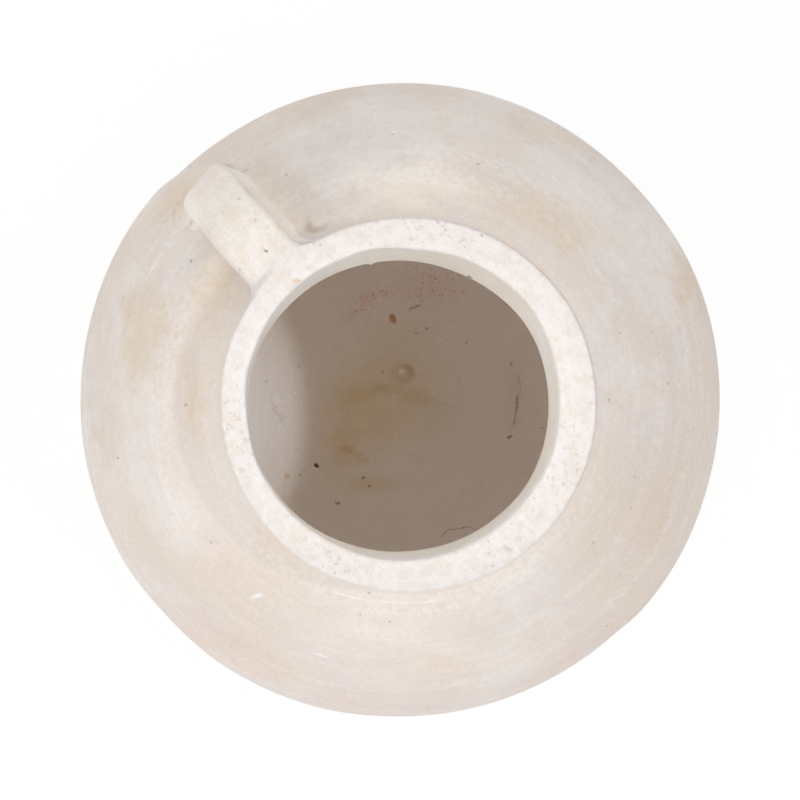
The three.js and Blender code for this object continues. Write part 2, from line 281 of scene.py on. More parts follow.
def between(value, start, full, full_end, end):
    """0 up to start, 1 from full to full_end and 0 again from end on."""
    return soft(value, start, full) * (1 - soft(value, full_end, end))


def hump(middle, half_width):
    """1 at the middle angle round the jug, falling softly to 0 at half_width to either side."""
    away = np.abs((photo_degrees - middle + 180) % 360 - 180)
    return 1 - soft(away, 0, half_width)


def bell(distance, width):
    """1 at no distance, falling to either side as a bell does."""
    return np.exp(-((distance / width) ** 2))


def unit(vectors):
    """The vectors, each made 1 long."""
    return vectors / np.maximum(np.linalg.norm(vectors, axis=-1, keepdims=True), 1e-15)


def rough(places, size, seed):
    """Smooth noise from about -1 to 1 at places, with lumps of the given size."""
    shift = Vector((seed * 17.3, seed * 5.1, seed * 9.7))
    values = [noise.noise(Vector(place) + shift) for place in places.reshape(-1, 3) / size]
    return np.array(values).reshape(places.shape[:-1])


def wobble(seed, slowest, fastest):
    """Closed random wave round the jug, of about -1 to 1."""
    random = np.random.default_rng(seed)
    wave = np.zeros(AROUND)
    for turns in range(slowest, fastest + 1):
        wave += np.cos(turns * angle + random.uniform(0, 2 * math.pi)) / turns
    return wave / np.abs(wave).max()


def bump(size, *angles):
    """A bump all round the jug, from its middle and half width or from the four ends of its slopes."""
    return size * (hump(*angles) if len(angles) == 2 else between(photo_degrees, *angles))


def hand_made(swell=0.0, oval=(0, 0), wave=None, bumps=()):
    """How far a hand-made outline stands out from a circle, all round."""
    size, direction = oval
    out = swell + size * np.cos(np.radians(2 * (photo_degrees - direction)))
    out = out + sum(bump(*one) for one in bumps)
    if wave:
        out = out + wave[0] * wobble(*wave[1:])
    return out * MM


class Skin:
    """Rings of points, one after another over a surface, with what the clay has to know there.

    chalk is how white and powdery the clay is and inside how much it belongs to the jug's inside.
    strokes are the coordinates of the marks that hand and brush left. tint is what stains, painted
    light and painted shade leave of the clay's colour. flecks says how many glints, rusty specks and pores
    there are.
    """

    CARRIED = ("chalk", "inside", "strokes", "tint", "flecks")

    def __init__(self, place):
        self.move_to(place)
        self.chalk = np.zeros(place.shape[:2])
        self.inside = np.zeros(place.shape[:2])
        self.strokes = np.zeros(place.shape)
        self.tint = np.ones(place.shape)
        self.flecks = np.zeros(place.shape)

    def move_to(self, place):
        """Puts the points there, but inside the solids' box, and finds their normals."""
        self.place = np.clip(place, *[np.array(corner) for corner in cad_bounds])
        around = np.roll(self.place, -1, axis=1) - np.roll(self.place, 1, axis=1)
        self.normal = unit(np.cross(around, np.gradient(self.place, axis=0)))

    def push(self, height):
        """Moves the skin out by height."""
        self.move_to(self.place + self.normal * height[..., None])


def turned(x, y, turn):
    """A place in a plane, in directions that are turned that far anticlockwise."""
    cos, sin = math.cos(turn), math.sin(turn)
    return x * cos + y * sin, y * cos - x * sin


def in_photo(place):
    """Where places on the jug appear in the photograph, in pixels to the right and down."""
    scale = PHOTO_FOCAL / (CAMERA_HEIGHT - place[..., 2])
    right, up = turned(place[..., 0], place[..., 1], PHOTO_TURN)
    return np.stack([PHOTO_SIZE / 2 + scale * right, PHOTO_SIZE / 2 - scale * up], axis=-1)


def patch(pixels, x, y, half_length, half_width, turn=0.0):
    """1 in the middle of an oval of the photograph, falling softly to 0 at its edge."""
    along, across = turned(pixels[..., 0] - x, y - pixels[..., 1], math.radians(turn))
    return 1 - soft(np.hypot(along / half_length, across / half_width), 0.2, 1)


def dyed(share, colour):
    """What a dye, which leaves that colour of the light, leaves of it where it covers a share."""
    return 1 - share[..., None] * (1 - np.array(colour))


def between_colours(share, first, second):
    """Colours that lie a share of the way from the first to the second."""
    return first + share[..., None] * (np.array(second) - first)


def stained(pixels, stains):
    """What some ovals of stain, painted light and painted shade leave of the clay's colour."""
    tint = np.ones((*pixels.shape[:2], 3))
    for *oval, colour in stains:
        tint *= dyed(patch(pixels, *oval), colour)
    return tint


def ragged_edges(place):
    """How far a stain's outline wanders at each place, in two directions."""
    return sum(
        share * np.stack([rough(place, size, seed), rough(place, size, seed + 1)], axis=2)
        for share, size, seed in ((1.0, 11 * MM, 21), (0.5, 4 * MM, 23))
    )


def rows(radius, height, shift=(0, 0)):
    """Rings as rows of radius, height and where their middle is."""
    count = len(radius)
    shift = np.broadcast_to(np.asarray(shift, float), (count, 2))
    return np.column_stack([radius, np.broadcast_to(height, count), shift])


def arc(middle, reach, start, end, count):
    """Radii and heights on a round arc between two angles in degrees."""
    turn = np.radians(np.linspace(start, end, count))
    return middle[0] + reach * np.cos(turn), middle[1] + reach * np.sin(turn)


def curve(start, corner, end, count):
    """Points on the curve that leaves start towards the corner and comes to end from it."""
    t = np.linspace(0, 1, count)[:, None]
    return (1 - t) ** 2 * start + 2 * t * (1 - t) * corner + t**2 * end


def bowl_radius(height, belly, foot, foot_height):
    drop = (BELLY_HEIGHT - height) / (BELLY_HEIGHT - foot_height)
    return belly - (belly - foot) * drop**2


SHOULDER_RISE = (ROOT_HEIGHT - BELLY_HEIGHT) / math.sqrt(1 - (ROOT_RADIUS / BODY_RADIUS) ** 2)
LINING_RADIUS = BODY_RADIUS - WALL
LINING_RISE = SHOULDER_RISE - WALL


def dome_height(distance, radius, rise):
    """Height of the shoulder's outside or lining at a distance from the jug's axis."""
    return BELLY_HEIGHT + rise * np.sqrt(np.clip(1 - (distance / radius) ** 2, 0, 1))


def base_outside():
    radius = np.linspace(1 * MM, FOOT_RADIUS - FOOT_BEVEL, 26)
    hollow = UNDERSIDE_HOLLOW * (1 - soft(radius, 0.6 * FOOT_RADIUS, FOOT_RADIUS - 2 * FOOT_BEVEL))
    edge = np.linspace(0.3, 1, 3) * FOOT_BEVEL
    bevel = FOOT_RADIUS - FOOT_BEVEL * (1 - edge / FOOT_BEVEL) ** 2
    wall = np.linspace(FOOT_BEVEL, SLAB_EDGE, 3)[1:]
    return np.vstack([
        rows(radius, hollow),
        rows(bevel + (bowl_radius(edge, BODY_RADIUS, FOOT_RADIUS, 0) - FOOT_RADIUS), edge),
        rows(bowl_radius(wall, BODY_RADIUS, FOOT_RADIUS, 0), wall),
    ])


def lower_outside():
    height = np.linspace(SLAB_EDGE, BELLY_HEIGHT, 64)
    return rows(bowl_radius(height, BODY_RADIUS, FOOT_RADIUS, 0), height)


def upper_outside():
    end = math.degrees(math.acos(ROOT_RADIUS / BODY_RADIUS))
    turns = np.radians(np.concatenate([np.linspace(0, end - 2, 62), np.linspace(end - 2, end, 9)[1:]]))
    radius = BODY_RADIUS * np.cos(turns)
    off_axis = 1 - soft(radius, ROOT_RADIUS, BODY_RADIUS - 2 * WALL)
    return rows(radius, BELLY_HEIGHT + SHOULDER_RISE * np.sin(turns), off_axis[:, None] * NECK_SHIFT)


def neck_outside():
    """From the shoulder, whose slope it keeps at first, up through the cove to the rim."""
    cove_top = ROOT_HEIGHT + COVE_HEIGHT
    slope = SHOULDER_RISE * ROOT_RADIUS / BODY_RADIUS**2 / math.sqrt(1 - (ROOT_RADIUS / BODY_RADIUS) ** 2)
    root = np.array([ROOT_RADIUS, ROOT_HEIGHT])
    turn = np.array([NECK_RADIUS, ROOT_HEIGHT + (ROOT_RADIUS - NECK_RADIUS) * slope])
    top = np.array([NECK_RADIUS, cove_top])
    cove = curve(root, turn, top, COVE_RINGS)
    height = np.linspace(cove_top, RIM_BOTTOM, 5)[1:]
    return np.vstack([
        rows(cove[:, 0], cove[:, 1], NECK_SHIFT),
        rows(np.full(4, NECK_RADIUS), height, NECK_SHIFT),
    ])


def rim_all_round():
    """Up the rim's outside, over its flat top and down the bore to where the neck takes over."""
    top = RIM_TOP - RIM_HOLLOW
    side = np.linspace(RIM_BOTTOM, top - RIM_ROUND, RIM_SIDE_RINGS)[:-1]
    edge = arc((NECK_RADIUS - RIM_ROUND, top - RIM_ROUND), RIM_ROUND, 0, 90, RIM_EDGE_RINGS)
    flat = np.linspace(NECK_RADIUS - RIM_ROUND, MOUTH_RADIUS + MOUTH_ROUND, RIM_FLAT_RINGS)
    lean = np.linspace(0, 1, RIM_FLAT_RINGS)[:, None]
    inner = arc((MOUTH_RADIUS + MOUTH_ROUND, top - MOUTH_ROUND), MOUTH_ROUND, 90, 180, 8)
    return np.vstack([
        rows(np.full(RIM_SIDE_RINGS - 1, NECK_RADIUS), side, NECK_SHIFT),
        rows(*edge, NECK_SHIFT),
        rows(flat, top, NECK_SHIFT * (1 - lean) + MOUTH_SHIFT * lean)[1:-1],
        rows(*inner, MOUTH_SHIFT),
        bore_rows(np.linspace(top - MOUTH_ROUND, RIM_BOTTOM, 8)[1:]),
    ])


def bore_rows(height):
    """The bore at some heights; it leans and narrows from mouth to throat."""
    share = (height - THROAT_HEIGHT) / (RIM_TOP - RIM_HOLLOW - MOUTH_ROUND - THROAT_HEIGHT)
    radius = THROAT_RADIUS + (MOUTH_RADIUS - THROAT_RADIUS) * share
    return rows(radius, height, THROAT_SHIFT + (MOUTH_SHIFT - THROAT_SHIFT) * share[:, None])


def lining_rows(radius):
    """Rings on the lining of the shoulder, which move off the jug's axis towards the throat."""
    off_axis = 1 - soft(radius, THROAT_RADIUS + THROAT_ROUND, THROAT_RADIUS + 4 * WALL)
    height = dome_height(radius, LINING_RADIUS, LINING_RISE)
    return rows(radius, height, off_axis[:, None] * THROAT_SHIFT)


def neck_inside():
    lip_middle = (THROAT_RADIUS + THROAT_ROUND, THROAT_HEIGHT + THROAT_ROUND)
    return np.vstack([
        bore_rows(np.linspace(RIM_BOTTOM, THROAT_HEIGHT + THROAT_ROUND, 14)),
        rows(*arc(lip_middle, THROAT_ROUND, 180, 250, 5), THROAT_SHIFT)[1:],
        lining_rows(np.linspace(THROAT_RADIUS + 2 * THROAT_ROUND, ROOT_RADIUS - SEAT_WIDTH, 7)),
    ])


def upper_inside():
    start = math.acos((ROOT_RADIUS - SEAT_WIDTH) / LINING_RADIUS)
    return lining_rows(LINING_RADIUS * np.cos(np.linspace(start, 0, 60)))


def lower_inside():
    height = np.linspace(BELLY_HEIGHT, FLOOR_THICKNESS, 64)
    return rows(bowl_radius(height, LINING_RADIUS, FLOOR_RADIUS, FLOOR_THICKNESS), height)


def base_inside():
    return rows(np.linspace(FLOOR_RADIUS, 0.6 * MM, 72), FLOOR_THICKNESS)


# The skin's runs of rings, from the middle of the underside round to the middle of the floor. Each
# run starts on the ring where the run before it ends.
RUNS = [
    ("base_slab", base_outside),
    ("lower_body", lower_outside),
    ("upper_body", upper_outside),
    ("neck_collar", neck_outside),
    ("rim_band", rim_all_round),
    ("neck_collar", neck_inside),
    ("upper_body", upper_inside),
    ("lower_body", lower_inside),
    ("base_slab", base_inside),
]


class Pot:
    """The pot without its handle, as one skin of rings, and where in it each run of rings lies."""

    def __init__(self):
        self.list_rings()
        places = self.hand_made_places()
        self.skin = Skin(places)
        self.skin.strokes = np.stack(np.broadcast_arrays(
            places[..., 0] / STROKE_LENGTH, places[..., 1] / STROKE_LENGTH, self.along / STROKE_WIDTH,
        ), axis=2)
        self.add_relief()
        self.pixels = in_photo(self.skin.place)
        self.add_chalk()
        self.add_stains_and_painted_shading()
        self.add_flecks()

    def list_rings(self):
        table = np.zeros((0, 4))
        self.spans = []
        for name, run in RUNS:
            rings = run()
            start = max(len(table) - 1, 0)
            table = np.vstack([table, rings[1:] if len(table) else rings])
            self.spans.append((name, start, len(table) - 1))
        first = {name: start for name, start, _ in reversed(self.spans)}
        self.radius, self.height, self.middle_x, self.middle_y = np.split(table, 4, axis=1)
        steps = np.hypot(np.diff(table[:, 0]), np.diff(table[:, 1]))
        self.along = np.concatenate([[0], np.cumsum(steps)])[:, None]
        self.ring = np.arange(len(table))[:, None]
        self.root = first["neck_collar"]
        self.rim_edge = first["rim_band"] + RIM_SIDE_RINGS + RIM_EDGE_RINGS - 2
        self.bore_start = self.rim_edge + RIM_FLAT_RINGS
        self.outside = self.ring < self.bore_start
        self.in_cavity = soft(self.ring, self.bore_start + 20, self.bore_start + 34)
        self.rim_top = soft(self.height, RIM_TOP - 2 * RIM_ROUND, RIM_TOP - RIM_HOLLOW)
        near_belly = soft(self.radius, 0.95 * ROOT_RADIUS, 0.97 * BODY_RADIUS)
        self.belly = self.outside * soft(self.height, 0, 0.8 * BELLY_HEIGHT) * near_belly

    def hand_made_places(self):
        """The rings' points, where belly, rim, mouth and throat are no full circles."""
        across_rim = np.clip((self.ring - self.rim_edge) / (RIM_FLAT_RINGS - 1), 0, 1)
        rim = soft(self.height, ROOT_HEIGHT, RIM_BOTTOM) * (1 - across_rim)
        mouth = soft(self.height, THROAT_HEIGHT - 4 * MM, RIM_TOP) * across_rim
        throat = (1 - mouth) * soft(self.height, THROAT_HEIGHT - 8 * MM, THROAT_HEIGHT) * ~self.outside
        shares = [(self.belly, BELLY_HAND), (rim, RIM_HAND), (mouth, MOUTH_HAND), (throat, THROAT_HAND)]
        self.hand_radius = self.radius + sum(share * hand_made(**hand) for share, hand in shares)
        x = self.middle_x + self.hand_radius * np.cos(angle)
        y = self.middle_y + self.hand_radius * np.sin(angle)
        z = np.broadcast_to(self.height, x.shape).copy()
        from_axis = np.hypot(self.middle_x + self.radius * np.cos(angle),
                             self.middle_y + self.radius * np.sin(angle))
        for name, start, end in self.spans:
            if name == "upper_body":
                outer = start < self.bore_start
                dome = (BODY_RADIUS, SHOULDER_RISE) if outer else (LINING_RADIUS, LINING_RISE)
                z[start:end + 1] = dome_height(from_axis[start:end + 1], *dome)
        left_over = 1 - np.linspace(0, 1, COVE_RINGS)[1:, None] ** 2
        z[self.root + 1:self.root + COVE_RINGS] += (z[self.root] - ROOT_HEIGHT) * left_over
        z += floor_corner(from_axis) * ~self.outside * (self.height < IN_SIGHT_HEIGHT)
        return np.stack([x, y, z], axis=2)

    def add_relief(self):
        """Dents, throwing rings and clay that fingers smeared."""
        place = self.skin.place
        turn = (0.7 * np.cos(angle), 0.7 * np.sin(angle), self.along / THROWING_STEP)
        throwing = rough(np.stack(np.broadcast_arrays(*turn), axis=2), 1, 3)
        dents = rough(place, 75 * MM, 1) + 0.4 * rough(place, 28 * MM, 2)
        widest = between(self.height, 100 * MM, BELLY_HEIGHT, BELLY_HEIGHT, 140 * MM)
        self.skin.push(
            DENTS * dents * (self.belly * (1 - widest) + self.in_cavity)
            + THROWING_RINGS * throwing * self.outside * soft(self.ring, 20, 40)
            + INNER_THROWING_RINGS * throwing * self.in_cavity
            + RIM_LUMPS * rough(place, 14 * MM, 4) * self.rim_top
            + foot_tongue(in_photo(place)) * self.outside
            + root_lip(self.ring, self.root)
            + floor_relief(place) * self.in_cavity * (1 - soft(self.height, 35 * MM, 50 * MM))
        )

    def add_chalk(self):
        # Near the neck's root the clay is made a little chalkier, which is also painted light where the
        # cove's shade falls
        near_root = 1 - soft(np.abs(self.hand_radius - ROOT_RADIUS), 4 * MM, 18 * MM)
        by_root_chalk_and_light = self.outside * near_root * (self.height > 200 * MM)
        rim_side = soft(self.height, RIM_BOTTOM, RIM_TOP) * (1 - self.rim_top)
        self.skin.chalk[:] = np.maximum(self.rim_top + 0.3 * rim_side, 0.2 * by_root_chalk_and_light)
        self.skin.inside[:] = self.in_cavity

    def add_stains_and_painted_shading(self):
        ragged = ragged_edges(self.skin.place)
        on_body = 1 - soft(self.height, ROOT_HEIGHT, ROOT_HEIGHT + COVE_HEIGHT)
        body = dyed(on_body, stained(self.pixels + BODY_STAIN_WANDER * ragged, BODY_STAINS_AND_PAINTED_SHADING.values()))
        inner = stained(self.pixels + INNER_STAIN_WANDER * ragged, INNER_STAINS_AND_PAINTED_SHADING.values())
        inner *= nub_shade(self.skin.place)[..., None]
        rim_side = (self.ring < self.rim_edge) * soft(self.height, ROOT_HEIGHT, RIM_BOTTOM)
        in_bore = soft(self.ring, self.bore_start + 1, self.bore_start + 6) * (1 - self.in_cavity)
        more_light = 1 + BORE_LIT_MORE * np.cos(np.radians(photo_degrees - BORE_LIT_SIDE))
        self.skin.tint = np.where(self.outside[..., None], body, inner)
        # Painted shade on the rim's outer side, over part of its round
        self.skin.tint *= dyed(rim_side * hump(30, 110), RIM_SHADE)
        self.skin.tint *= dyed(self.rim_top, RIM_TINT)
        # Painted light in the bore: lighter and cooler, most towards one side
        self.skin.tint *= dyed(in_bore, np.array(BORE_TINT) * more_light[:, None])

    def add_flecks(self):
        in_sight = self.in_cavity * (self.height < IN_SIGHT_HEIGHT)
        rusty = np.maximum(patch(self.pixels, *RUSTY_AREA), patch(self.pixels, *RUSTY_STREAK))
        self.skin.flecks[..., 0] = in_sight * patch(self.pixels, *GLINTS)
        self.skin.flecks[..., 1] = in_sight * rusty
        gritty = np.max([hump(*one) for one in RIM_GRIT], axis=0)
        self.skin.flecks[..., 2] = self.rim_top * (0.3 + 0.7 * gritty)


def root_lip(ring, root):
    """The thin edge of clay where the neck's foot was smeared over the shoulder."""
    strength = np.maximum(hump(273, 34), 0.7 * hump(80, 34))
    profile = np.where(ring >= root, 1 - soft(ring, root + 2, root + 9), soft(ring, root - 2, root))
    return ROOT_LIP * profile * strength


def foot_tongue(pixels):
    """The clay of the handle's foot, smeared out over the shoulder in a rounded tongue."""
    along, left = turned(pixels[..., 0] - PHOTO_SIZE / 2, PHOTO_SIZE / 2 - pixels[..., 1], -PHOTO_TURN)
    reach = TONGUE_REACH - np.where(left > 0, 29, 15) * (left / 30) ** 2
    beside_strap = between(left, -38, -28, 30, 40)
    return FOOT_TONGUE * soft(reach - along, -2, 7) * beside_strap * soft(along, 255, 290)


def floor_relief(place):
    """The thrower's rings on the floor, the ridge where floor and wall meet, and the nub."""
    distance = np.hypot(place[..., 0], place[..., 1])
    from_nub = distance_from_nub(place)
    wave = 1.5 * np.sin(np.arctan2(place[..., 1], place[..., 0]))
    rings = FLOOR_RINGS * np.sin(distance / FLOOR_RING_STEP * 2 * math.pi + wave)
    ridge = FLOOR_RIDGE * bell(distance - FLOOR_RADIUS + 1 * MM, 5 * MM)
    nub = NUB_RISE * np.exp(-((from_nub / NUB_RADIUS) ** 4))
    moat = NUB_MOAT * bell(from_nub - 1.6 * NUB_RADIUS, 1.3 * MM)
    on_floor = 1 - soft(distance, FLOOR_RADIUS, FLOOR_RADIUS + 6 * MM)
    return (rings + ridge + nub - moat) * on_floor


def floor_corner(distance):
    """How high the clay stands in the corner of floor and wall, whose two slopes it joins smoothly."""
    slope = (BELLY_HEIGHT - FLOOR_THICKNESS) / 2 / (LINING_RADIUS - FLOOR_RADIUS)
    return slope * CORNER_SOFTNESS * np.log1p(np.exp(-np.abs(distance - FLOOR_RADIUS) / CORNER_SOFTNESS))


def distance_from_nub(place):
    return np.hypot(place[..., 0] - NUB_PLACE[0], place[..., 1] - NUB_PLACE[1])


def nub_shade(place):
    """Painted shade in the moat round the nub, as what it leaves of the clay's colour."""
    return 1 - 0.13 * bell(distance_from_nub(place) - 1.1 * NUB_RADIUS, 1.2 * MM)


def strap_line():
    """The strap's middle line as in the solids: distances along it, x and z, direction, landing."""
    level = RIM_TOP - STRAP_DROP - STRAP_THICKNESS / 2
    corner = np.array([STRAP_REACH - STRAP_THICKNESS / 2, level])
    landing_height = ROOT_HEIGHT - STRAP_FOOT_DROP
    landing_rise = (landing_height - BELLY_HEIGHT) / SHOULDER_RISE
    landing = np.array([BODY_RADIUS * math.sqrt(1 - landing_rise**2), landing_height])
    leg = unit(landing - corner)
    start = np.array([NECK_SHIFT[0] + NECK_RADIUS - STRAP_LAP, level])
    bend = curve(corner - [STRAP_BEND, 0], corner, corner + STRAP_BEND * leg, 60)
    points = np.vstack([start, bend, landing + leg * STRAP_EMBED])
    distance = np.concatenate([[0], np.cumsum(np.linalg.norm(np.diff(points, axis=0), axis=1))])
    at = np.linspace(0, distance[-1], int(distance[-1] / SECTION_STEP) + 1)
    middle = np.column_stack([np.interp(at, distance, points[:, k]) for k in range(2)])
    return at, middle, unit(np.gradient(middle, axis=0)), at[-1] - STRAP_EMBED


def strap_outline(corners, rounds):
    """Closed outline through rounded corners, as points of (across, out) and their outward normals."""
    points = []
    for k, corner in enumerate(corners):
        before, after = corners[k - 1], corners[(k + 1) % 4]
        enter = corner + unit(before - corner) * rounds[k]
        leave = corner + unit(after - corner) * rounds[k]
        next_enter = after + unit(corner - after) * rounds[(k + 1) % 4]
        edge = np.linspace(0, 1, 14)[1:-1, None]
        points.extend(curve(enter, corner, leave, 7))
        points.extend(leave + (next_enter - leave) * edge)
    points = np.array(points)
    run = np.roll(points, -1, axis=0) - np.roll(points, 1, axis=0)
    return points, unit(np.column_stack([-run[:, 1], run[:, 0]]))


def fillet(distance, radius):
    """How far a quarter-round fillet stands out from a face, at a distance from the wall it meets."""
    share = 1 - np.clip(distance / np.maximum(radius, 1e-9), 0, 1)
    return radius * (1 - np.sqrt(1 - share**2))


def height_over_shoulder(place):
    """Distance from the shoulder's outside, positive outside it."""
    distance = np.hypot(place[..., 0], place[..., 1])
    rise = place[..., 2] - BELLY_HEIGHT
    level = np.hypot(distance / BODY_RADIUS, rise / SHOULDER_RISE)
    slope = np.hypot(distance / BODY_RADIUS**2, rise / SHOULDER_RISE**2) / level
    return (level - 1) / slope


class Handle:
    """The strap as one skin of cross sections, from inside the rim to inside the shoulder.

    side is how each point's face looked before the hand rounded it.
    """

    def __init__(self):
        self.at, middle, tangent, self.landing = strap_line()
        self.from_root = self.at[:, None] - STRAP_LAP
        self.bend = STRAP_REACH - NECK_SHIFT[0] - NECK_RADIUS + STRAP_LAP - 0.6 * STRAP_THICKNESS
        self.place_sections(middle, tangent)
        self.lean_on_neck()
        self.fill_corners()
        self.level_with_rim()
        self.skin = Skin(self.place)
        self.add_colour()

    def place_sections(self, middle, tangent):
        """The strap's cross sections along its line, a little rolled."""
        places, sides = [], []
        for distance, (x, z), (along_x, along_z) in zip(self.at, middle, tangent):
            points, normals = strap_outline(*self.section(distance))
            across, out = turned(*points.T, STRAP_ROLL)
            places.append(np.column_stack([x - along_z * out, STRAP_SIDEWAYS + across, z + along_x * out]))
            across, out = turned(*normals.T, STRAP_ROLL)
            sides.append(np.column_stack([-along_z * out, across, along_x * out]))
        # Taken this way round, the skin's normals look outwards
        self.place, self.side = np.array(places)[:, ::-1], np.array(sides)[:, ::-1]

    def section(self, distance):
        """The corners of the cross section at a distance along the strap, and how round they are."""
        at_bend = bell(distance - self.bend, 11 * MM)
        below = soft(distance, self.bend, self.bend + 25 * MM)
        top, under, thick = STRAP_TOP / 2 / MM, STRAP_UNDER / 2 / MM, STRAP_THICKNESS / 2 / MM
        corners = np.array([
            [-top - 0.6 + 1.2 * below, thick],
            [top + 0.6 - 4.5 * at_bend, thick],
            [under - 2 - below, -thick],
            [-under - 1.4 + 3 * below, -thick],
        ])
        rounds = np.array([2.4 + 2.5 * below, 6 + 4 * at_bend + 3 * below, 3, 2 + 2 * below])
        return corners * MM, rounds * MM

    def lean_on_neck(self):
        """Moves the sections' sides back so that they follow the round neck."""
        lag = NECK_RADIUS - np.sqrt(NECK_RADIUS**2 - (self.place[..., 1] - NECK_SHIFT[1]) ** 2)
        self.place[..., 0] -= lag * (1 - soft(self.from_root, 2 * MM, 26 * MM))
        from_middle = self.place[..., :2] - NECK_SHIFT
        self.beyond_neck = np.hypot(from_middle[..., 0], from_middle[..., 1]) - NECK_RADIUS

    def fill_corners(self):
        """Fillets at neck and shoulder, the hand's unevenness and the sagging bend."""
        outward, left, _ = np.moveaxis(np.clip(self.side, 0, 1) ** 2, 2, 0)
        inward, right, down = np.moveaxis(np.clip(-self.side, 0, 1) ** 2, 2, 0)
        on_leg = soft(self.from_root, 20 * MM, 30 * MM)
        at_neck = fillet(self.beyond_neck, (7.5 * right + 6 * left + 6 * down * (1 - on_leg)) * MM)
        foot_rounds = (4 * right + 8 * left + 2.5 * outward + 8 * inward) * MM
        at_foot = on_leg * fillet(height_over_shoulder(self.place), foot_rounds)
        uneven = (0.3 * rough(self.place, 17 * MM, 11) + 0.12 * rough(self.place, 6 * MM, 12) - 0.25) * MM
        self.place = self.place + self.side * (at_neck + at_foot + uneven)[..., None]
        sag = np.clip((self.place[..., 0] - STRAP_REACH) / (24 * MM) + 1, 0, 1) ** 2
        self.place[..., 2] -= 3 * MM * sag * np.clip(self.side[..., 2], 0, 1)

    def level_with_rim(self):
        """Brings the top up flush with the rim, soon on the low side and early on the high side."""
        faces_up = soft(self.side[..., 2], 0.3, 0.85) * (1 - soft(self.from_root, 12 * MM, 20 * MM))
        reach = 9 * MM - 6.5 * MM * soft(self.place[..., 1], -4 * MM, 6 * MM)
        flush = (1 - soft(self.beyond_neck, 0.3 * MM, reach)) * faces_up
        level = RIM_TOP - 0.22 * MM - 0.6 * MM * soft(-self.beyond_neck, 2 * MM, 7 * MM)
        level -= 0.6 * MM * soft(STRAP_SIDEWAYS - self.place[..., 1], 12 * MM, 16.5 * MM)
        self.place[..., 2] += flush * (level - self.place[..., 2])
        self.place[..., 2] = np.minimum(self.place[..., 2], RIM_TOP)

    def add_colour(self):
        """Chalky on top like the rim, stained as the shoulder is towards its foot, and darkened low down by
        its root with the corner's painted shade.
        """
        skin, at = self.skin, self.at[:, None]
        pixels = in_photo(skin.place)
        girth = np.linspace(0, 2 * (STRAP_TOP + STRAP_UNDER), self.place.shape[1], endpoint=False)
        strokes = (at / STRAP_STROKE_LENGTH, girth / STRAP_STROKE_WIDTH, 7.0)
        skin.strokes = np.stack(np.broadcast_arrays(*strokes), axis=2)
        up = soft(skin.normal[..., 2], 0.15, 0.9)
        by_shoulder = 1 - soft(height_over_shoulder(skin.place), 1 * MM, 10 * MM)
        on_rim = 1 - soft(self.from_root, 0, 14 * MM)
        on_bend = between(at, self.bend - 16 * MM, self.bend, self.bend + 8 * MM, self.landing - 8 * MM)
        past_bend = soft(at, self.bend - 6 * MM, self.bend + 10 * MM)
        low = 1 - soft(skin.place[..., 2], RIM_TOP - 14 * MM, RIM_TOP - 6 * MM)
        skin.chalk[:] = up * (1 - 0.3 * past_bend) * (1 - by_shoulder)
        skin.flecks[..., 2] = 0.35 * up
        tint = between_colours(on_rim, STRAP_TINT, RIM_TINT) * (1 + 0.09 * on_bend)[..., None]
        tint = tint * dyed(low, stained(pixels, [CORNER_PAINTED_SHADE]))
        skin.tint = between_colours(by_shoulder, tint, stained(pixels, BODY_STAINS_AND_PAINTED_SHADING.values()))


def faces_between(skin, order, capped):
    """Faces from each ring to the next in that order, and the normals at their corners. Rings that
    aren't neighbours in the skin are joined by flat faces."""
    place = skin.place[order].reshape(-1, 3)
    normal = skin.normal[order].reshape(-1, 3)
    corner = np.arange(len(place)).reshape(len(order), -1)
    beside = np.roll(corner, -1, axis=1)
    steps = [(k, k + 1) for k in range(len(order) - 1)] + ([] if capped else [(len(order) - 1, 0)])
    faces, normals = [], []
    for here, there in steps:
        quads = np.stack([corner[here], beside[here], beside[there], corner[there]], axis=1)
        quad_normals = normal[quads]
        if abs(order[here] - order[there]) != 1:
            ends = place[quads]
            flat = unit(np.cross(ends[:, 2] - ends[:, 0], ends[:, 3] - ends[:, 1]))
            quad_normals = np.repeat(flat[:, None], 4, axis=1)
        faces.extend(quads.tolist())
        normals.extend(quad_normals.reshape(-1, 3))
    return faces, normals


def closed_mesh(name, skin, order, capped):
    """Mesh through the skin's rings in that order, which is closed by a cap at each end, or else by
    faces from the last ring to the first."""
    faces, normals = faces_between(skin, order, capped)
    values = {key: getattr(skin, key)[order] for key in ("place", *Skin.CARRIED)}
    values = {key: value.reshape(-1, *value.shape[2:]) for key, value in values.items()}
    around = skin.place.shape[1]
    last = len(order) - 1
    for ring, direction in ((0, -1), (last, 1)) if capped else ():
        place = values["place"]
        points = np.arange(ring * around, (ring + 1) * around)
        middle = place[points].mean(axis=0)
        pairs = np.column_stack([points, np.roll(points, -1)])[:, ::direction]
        toward = unit(np.cross(place[pairs[0, 0]] - middle, place[pairs[0, 1]] - middle))
        faces.extend([len(place), *pair] for pair in pairs.tolist())
        normals.extend([toward] * 3 * around)
        values = {key: np.concatenate([value, value[points[:1]]]) for key, value in values.items()}
        values["place"][-1] = middle
    mesh = bpy.data.meshes.new(name)
    mesh.from_pydata(values.pop("place").tolist(), [], faces)
    mesh.polygons.foreach_set("use_smooth", [True] * len(faces))
    mesh.normals_split_custom_set([tuple(one) for one in normals])
    for key, value in values.items():
        kind, field = ("FLOAT_VECTOR", "vector") if value.ndim == 2 else ("FLOAT", "value")
        mesh.attributes.new(key, kind, "POINT").data.foreach_set(field, value.astype(np.float32).ravel())
    mesh.update()
    piece = bpy.data.objects.new(name, mesh)
    bpy.context.scene.collection.objects.link(piece)
    return piece


